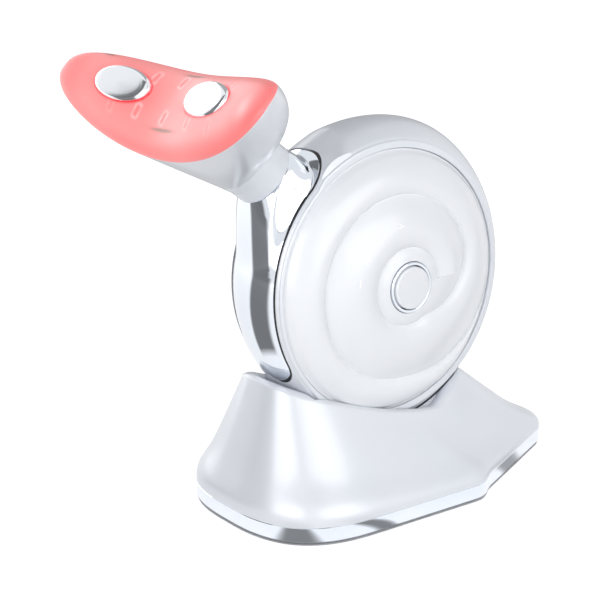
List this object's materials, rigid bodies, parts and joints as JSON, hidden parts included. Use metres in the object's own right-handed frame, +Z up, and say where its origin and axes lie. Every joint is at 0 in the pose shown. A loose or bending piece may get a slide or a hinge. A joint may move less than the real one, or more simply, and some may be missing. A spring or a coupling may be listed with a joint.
{
  "type": "facial toning device",
  "caption": "Facial toning device: a round handset with a spiral dial, a metal neck and a lit red head with two oval electrodes, standing in its charging dock.",
  "frame": {"origin": "on the table, right under the axis of the disc, with the handset in its dock", "axes": "+Z up, -X towards the head, +X towards the dock's tail, and the dial looks along -Y"},
  "size_m": [0.1178, 0.0804, 0.1063],
  "materials": {
    "pearl_plastic": "satin pearl lacquer, white with a cool silver cast",
    "dial_white": "glossy white moulding",
    "button_white": "satin white moulding",
    "polished_metal": "mirror-polished plating",
    "electrode_metal": "polished plating",
    "red_cover": "translucent red moulding, lit from inside",
    "red_led": "clear red lens",
    "base_plastic": "fine spark-eroded grey",
    "foot_rubber": "soft grey rubber",
    "plain_steel": "plain turned or stamped steel",
    "socket_steel": "drawn steel sleeve",
    "circuit_board": "green solder mask",
    "led_board_white": "white solder mask",
    "dark_plastic": "black moulding",
    "battery_wrap": "grey wrap",
    "gold_plate": "gold plating"
  },
  "bodies": {
    "dock": {"dock_shell": "pearl_plastic", "dock_band": "polished_metal", "dock_base_plate": "base_plastic", "dock_feet": "foot_rubber", "dock_ballast": "plain_steel", "dock_board": "circuit_board", "dock_inlet": "socket_steel", "dock_screws": "plain_steel", "pin_holder": "dark_plastic"},
    "pin_front": {"contact_pin_front": "gold_plate"},
    "pin_back": {"contact_pin_back": "gold_plate"},
    "handset": {"front_shell": "pearl_plastic", "back_shell": "pearl_plastic", "dial_cover": "dial_white", "back_cover": "dial_white", "button_ring": "polished_metal", "tact_switch": "dark_plastic", "main_board": "circuit_board", "battery": "battery_wrap", "neck_spine": "polished_metal", "charge_contacts": "gold_plate", "handset_screws": "plain_steel", "head_shell": "pearl_plastic", "head_bush": "plain_steel", "light_cover": "red_cover", "electrode_near": "electrode_metal", "electrode_far": "electrode_metal", "electrode_springs": "plain_steel", "led_board": "led_board_white", "red_leds": "red_led"},
    "button": {"mode_button": "button_white"}
  },
  "joints": [
    {"name": "handset_lift", "type": "slide", "parent": "dock", "child": "handset", "axis": [0, 0, 1], "range_m": [0, 0.09]},
    {"name": "mode_press", "type": "slide", "parent": "handset", "child": "button", "axis": [0, 1, 0], "range_m": [0, 0.0006], "stiffness_N_per_m": 2000, "springref_m": -0.0005},
    {"name": "pin_front_press", "type": "slide", "parent": "dock", "child": "pin_front", "axis": [0, 0, -1], "range_m": [0, 0.0008], "stiffness_N_per_m": 800, "springref_m": -0.0005},
    {"name": "pin_back_press", "type": "slide", "parent": "dock", "child": "pin_back", "axis": [0, 0, -1], "range_m": [0, 0.0008], "stiffness_N_per_m": 800, "springref_m": -0.0005}
  ]
}
